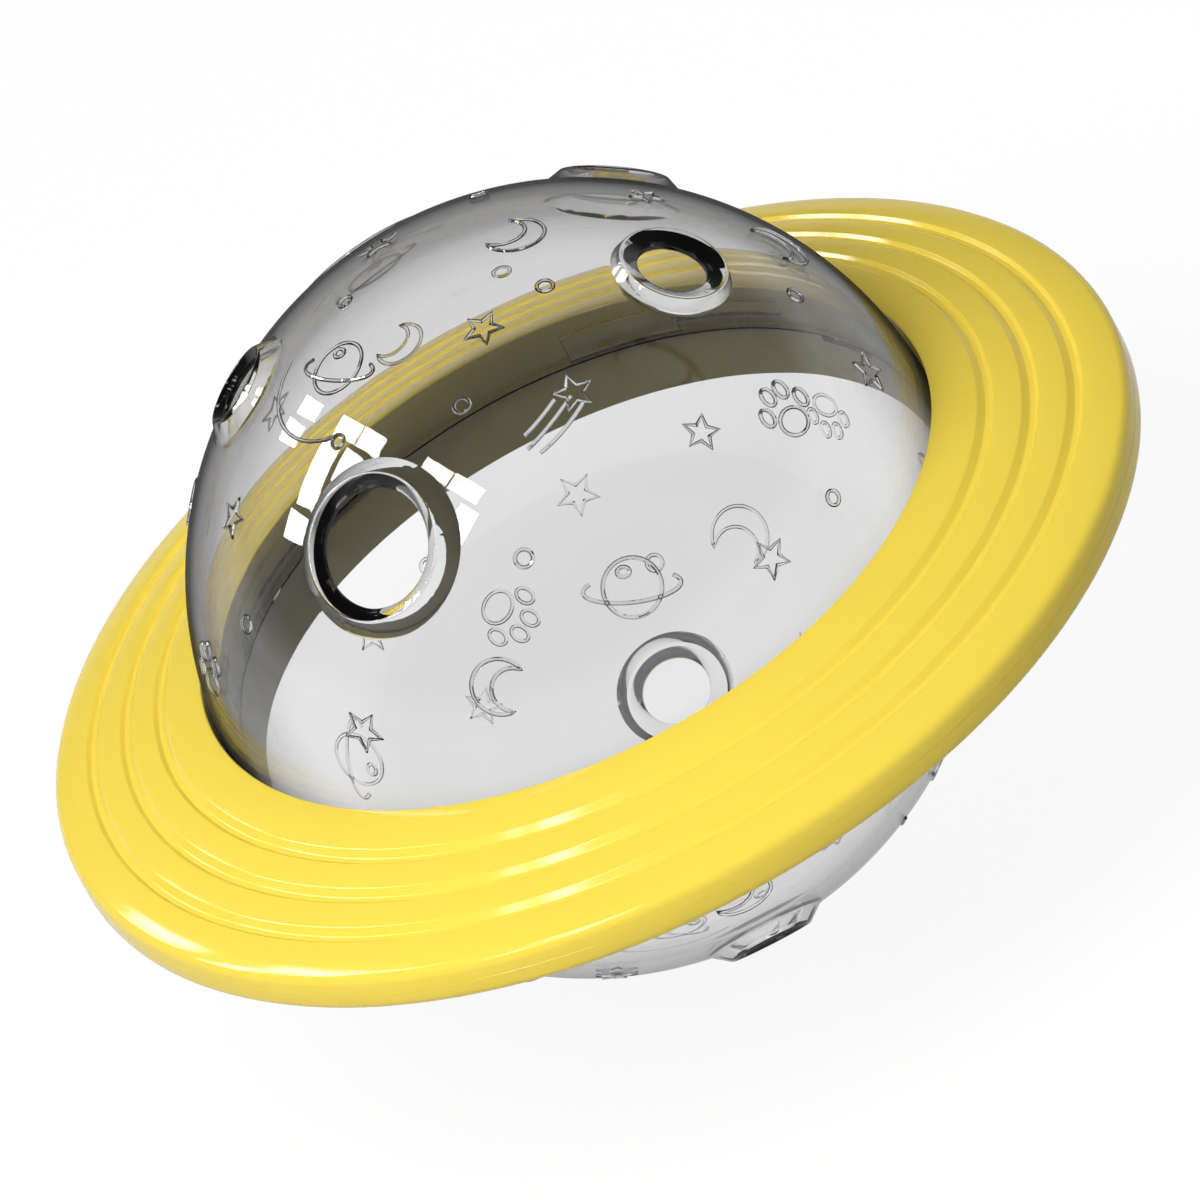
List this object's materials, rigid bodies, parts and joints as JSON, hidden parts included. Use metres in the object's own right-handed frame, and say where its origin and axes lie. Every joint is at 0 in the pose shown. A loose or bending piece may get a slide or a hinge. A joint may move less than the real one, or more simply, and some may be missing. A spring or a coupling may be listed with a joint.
{
  "type": "treat ball",
  "caption": "Hollow see-through ball in two halves with raised treat ports, held at its middle by a flat round saucer with ring grooves; the upper half lifts off for filling.",
  "frame": {"origin": "the ball's centre, half way up the belt between its two halves", "axes": "+Z along the ball's axis towards the half that lifts off; X and Y lie in the ball's level middle plane, with the widest port of the upper half towards -X and -Y"},
  "size_m": [0.17, 0.17, 0.1162],
  "materials": {
    "smoky_clear": "polished see-through plastic with a grey tint",
    "clear": "polished see-through plastic",
    "yellow": "satin moulded plastic"
  },
  "bodies": {
    "saucer": {"saucer_top_shell": "yellow", "saucer_bottom_shell": "yellow", "lower_dome": "clear"},
    "lid": {"upper_dome": "smoky_clear"}
  },
  "joints": [
    {"name": "upper_dome_lift", "type": "slide", "parent": "saucer", "child": "lid", "axis": [0, 0, 1], "range_m": [0, 0.08]}
  ]
}
